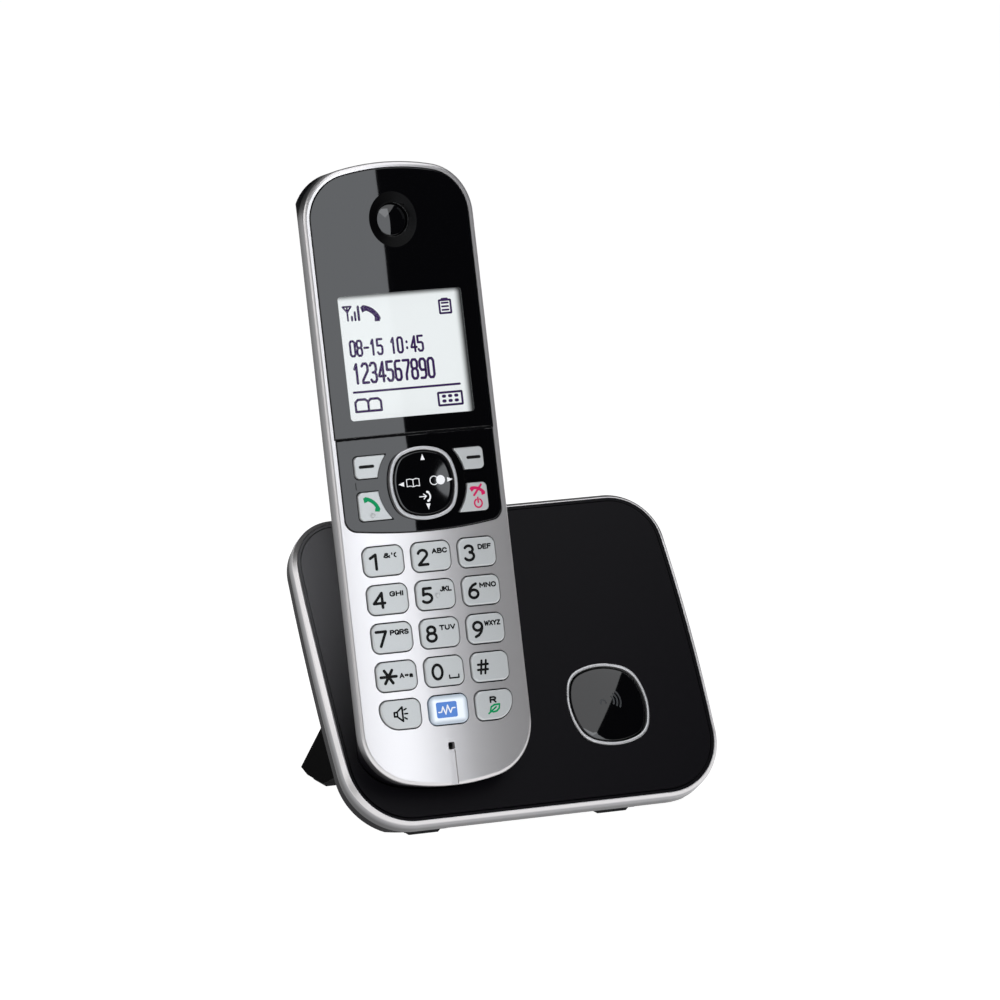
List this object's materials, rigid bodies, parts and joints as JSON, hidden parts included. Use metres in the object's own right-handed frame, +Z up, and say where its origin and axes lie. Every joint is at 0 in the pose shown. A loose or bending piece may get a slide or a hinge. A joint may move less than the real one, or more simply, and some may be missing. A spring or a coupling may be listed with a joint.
{
  "type": "cordless phone with base",
  "caption": "Cordless phone handset with display, dial keys and navigator, standing in a sloping desk base with a cradle pocket and locator button.",
  "frame": {"origin": "middle of the footprint, on the table top", "axes": "+Z up, +X to the right of someone facing the keys, +Y to the back"},
  "size_m": [0.1114, 0.0808, 0.1759],
  "materials": {
    "silver_paint": "satin silver paint",
    "key_silver": "satin silver-grey",
    "black_gloss": "high gloss",
    "black_matt": "fine matt",
    "window_clear": "clear",
    "lcd": "pale blue-grey display",
    "diffuser_white": "milky",
    "key_blue": "translucent, lit",
    "mesh_black": "fine cloth",
    "silicone_grey": "matt",
    "rubber_black": "matt",
    "board_green": "solder mask",
    "steel": "plain",
    "contact_metal": "nickel plated",
    "cell_wrap": "printed film, plain",
    "switch_body": "plain"
  },
  "bodies": {
    "base": {"base_cover": "black_matt", "base_band": "silver_paint", "base_rear_housing": "black_matt", "base_stand": "black_matt", "front_feet": "rubber_black", "rear_feet": "rubber_black", "locator_ring": "silver_paint", "locator_switch": "switch_body", "base_circuit_board": "board_green", "contact_holder": "switch_body", "dc_jack": "switch_body", "line_jack": "switch_body", "base_screws": "steel"},
    "handset": {"handset_front_frame": "silver_paint", "handset_rear_housing": "black_matt", "display_panel": "black_gloss", "display_window": "window_clear", "lcd_glass": "lcd", "lcd_backlight": "diffuser_white", "key_panel": "black_gloss", "key_bridges": "black_gloss", "panel_gasket": "rubber_black", "navigator_ring": "silver_paint", "earpiece_mesh": "mesh_black", "earpiece_speaker": "steel", "keypad_mat": "silicone_grey", "handset_circuit_board": "board_green", "microphone": "steel", "ringer_speaker": "steel", "handset_antenna": "contact_metal", "battery_cells": "cell_wrap", "battery_contacts": "contact_metal", "handset_charge_contacts": "contact_metal", "handset_screws": "steel"},
    "key_1": {"key_1": "key_silver"},
    "key_2": {"key_2": "key_silver"},
    "key_3": {"key_3": "key_silver"},
    "key_4": {"key_4": "key_silver"},
    "key_5": {"key_5": "key_silver"},
    "key_6": {"key_6": "key_silver"},
    "key_7": {"key_7": "key_silver"},
    "key_8": {"key_8": "key_silver"},
    "key_9": {"key_9": "key_silver"},
    "key_star": {"key_star": "key_silver"},
    "key_0": {"key_0": "key_silver"},
    "key_hash": {"key_hash": "key_silver"},
    "key_speaker": {"key_speaker": "key_silver"},
    "key_quick": {"key_quick": "key_blue"},
    "key_recall": {"key_recall": "key_silver"},
    "soft_key_left": {"soft_key_left": "key_silver"},
    "soft_key_right": {"soft_key_right": "key_silver"},
    "talk_key": {"talk_key": "key_silver"},
    "off_key": {"off_key": "key_silver"},
    "navigator_pivot": {"navigator_pivot": "switch_body"},
    "navigator_key": {"navigator_key": "black_gloss"},
    "battery_door": {"battery_door": "black_matt"},
    "locator_button": {"locator_button": "black_gloss"},
    "charge_contact_left": {"charge_contact_left": "contact_metal"},
    "charge_contact_right": {"charge_contact_right": "contact_metal"}
  },
  "joints": [
    {"name": "handset_lift", "type": "slide", "parent": "base", "child": "handset", "axis": [0, 0.274, 0.9617], "range_m": [0, 0.09]},
    {"name": "battery_door_slide", "type": "slide", "parent": "handset", "child": "battery_door", "axis": [0, -0.274, -0.9617], "range_m": [0, 0.007]},
    {"name": "navigator_tilt_up_down", "type": "hinge", "parent": "handset", "child": "navigator_pivot", "pos_m": [-0.0279, -0.01561, 0.09191], "axis": [1, 0, 0], "range_deg": [-3, 3], "stiffness_Nm_per_rad": 0.3},
    {"name": "navigator_tilt_left_right", "type": "hinge", "parent": "navigator_pivot", "child": "navigator_key", "pos_m": [-0.0279, -0.01561, 0.09191], "axis": [0, 0.274, 0.9617], "range_deg": [-3, 3], "stiffness_Nm_per_rad": 0.3},
    {"name": "locator_press", "type": "slide", "parent": "base", "child": "locator_button", "axis": [0, 0.8211, -0.5707], "range_m": [0, 0.001], "stiffness_N_per_m": 1500},
    {"name": "key_1_press", "type": "slide", "parent": "handset", "child": "key_1", "axis": [0, 0.9617, -0.274], "range_m": [0, 0.0006], "stiffness_N_per_m": 2000},
    {"name": "key_2_press", "type": "slide", "parent": "handset", "child": "key_2", "axis": [0, 0.9617, -0.274], "range_m": [0, 0.0006], "stiffness_N_per_m": 2000},
    {"name": "key_3_press", "type": "slide", "parent": "handset", "child": "key_3", "axis": [0, 0.9617, -0.274], "range_m": [0, 0.0006], "stiffness_N_per_m": 2000},
    {"name": "key_4_press", "type": "slide", "parent": "handset", "child": "key_4", "axis": [0, 0.9617, -0.274], "range_m": [0, 0.0006], "stiffness_N_per_m": 2000},
    {"name": "key_5_press", "type": "slide", "parent": "handset", "child": "key_5", "axis": [0, 0.9617, -0.274], "range_m": [0, 0.0006], "stiffness_N_per_m": 2000},
    {"name": "key_6_press", "type": "slide", "parent": "handset", "child": "key_6", "axis": [0, 0.9617, -0.274], "range_m": [0, 0.0006], "stiffness_N_per_m": 2000},
    {"name": "key_7_press", "type": "slide", "parent": "handset", "child": "key_7", "axis": [0, 0.9617, -0.274], "range_m": [0, 0.0006], "stiffness_N_per_m": 2000},
    {"name": "key_8_press", "type": "slide", "parent": "handset", "child": "key_8", "axis": [0, 0.9617, -0.274], "range_m": [0, 0.0006], "stiffness_N_per_m": 2000},
    {"name": "key_9_press", "type": "slide", "parent": "handset", "child": "key_9", "axis": [0, 0.9617, -0.274], "range_m": [0, 0.0006], "stiffness_N_per_m": 2000},
    {"name": "key_star_press", "type": "slide", "parent": "handset", "child": "key_star", "axis": [0, 0.9617, -0.274], "range_m": [0, 0.0006], "stiffness_N_per_m": 2000},
    {"name": "key_0_press", "type": "slide", "parent": "handset", "child": "key_0", "axis": [0, 0.9617, -0.274], "range_m": [0, 0.0006], "stiffness_N_per_m": 2000},
    {"name": "key_hash_press", "type": "slide", "parent": "handset", "child": "key_hash", "axis": [0, 0.9617, -0.274], "range_m": [0, 0.0006], "stiffness_N_per_m": 2000},
    {"name": "key_speaker_press", "type": "slide", "parent": "handset", "child": "key_speaker", "axis": [0, 0.9617, -0.274], "range_m": [0, 0.0006], "stiffness_N_per_m": 2000},
    {"name": "key_quick_press", "type": "slide", "parent": "handset", "child": "key_quick", "axis": [0, 0.9617, -0.274], "range_m": [0, 0.0006], "stiffness_N_per_m": 2000},
    {"name": "key_recall_press", "type": "slide", "parent": "handset", "child": "key_recall", "axis": [0, 0.9617, -0.274], "range_m": [0, 0.0006], "stiffness_N_per_m": 2000},
    {"name": "soft_key_left_press", "type": "slide", "parent": "handset", "child": "soft_key_left", "axis": [0, 0.9617, -0.274], "range_m": [0, 0.0006], "stiffness_N_per_m": 2000},
    {"name": "soft_key_right_press", "type": "slide", "parent": "handset", "child": "soft_key_right", "axis": [0, 0.9617, -0.274], "range_m": [0, 0.0006], "stiffness_N_per_m": 2000},
    {"name": "talk_key_press", "type": "slide", "parent": "handset", "child": "talk_key", "axis": [0, 0.9617, -0.274], "range_m": [0, 0.0006], "stiffness_N_per_m": 2000},
    {"name": "off_key_press", "type": "slide", "parent": "handset", "child": "off_key", "axis": [0, 0.9617, -0.274], "range_m": [0, 0.0006], "stiffness_N_per_m": 2000},
    {"name": "charge_contact_left_press", "type": "slide", "parent": "base", "child": "charge_contact_left", "axis": [0, -0.274, -0.9617], "range_m": [0, 0.0008], "stiffness_N_per_m": 600},
    {"name": "charge_contact_right_press", "type": "slide", "parent": "base", "child": "charge_contact_right", "axis": [0, -0.274, -0.9617], "range_m": [0, 0.0008], "stiffness_N_per_m": 600}
  ]
}
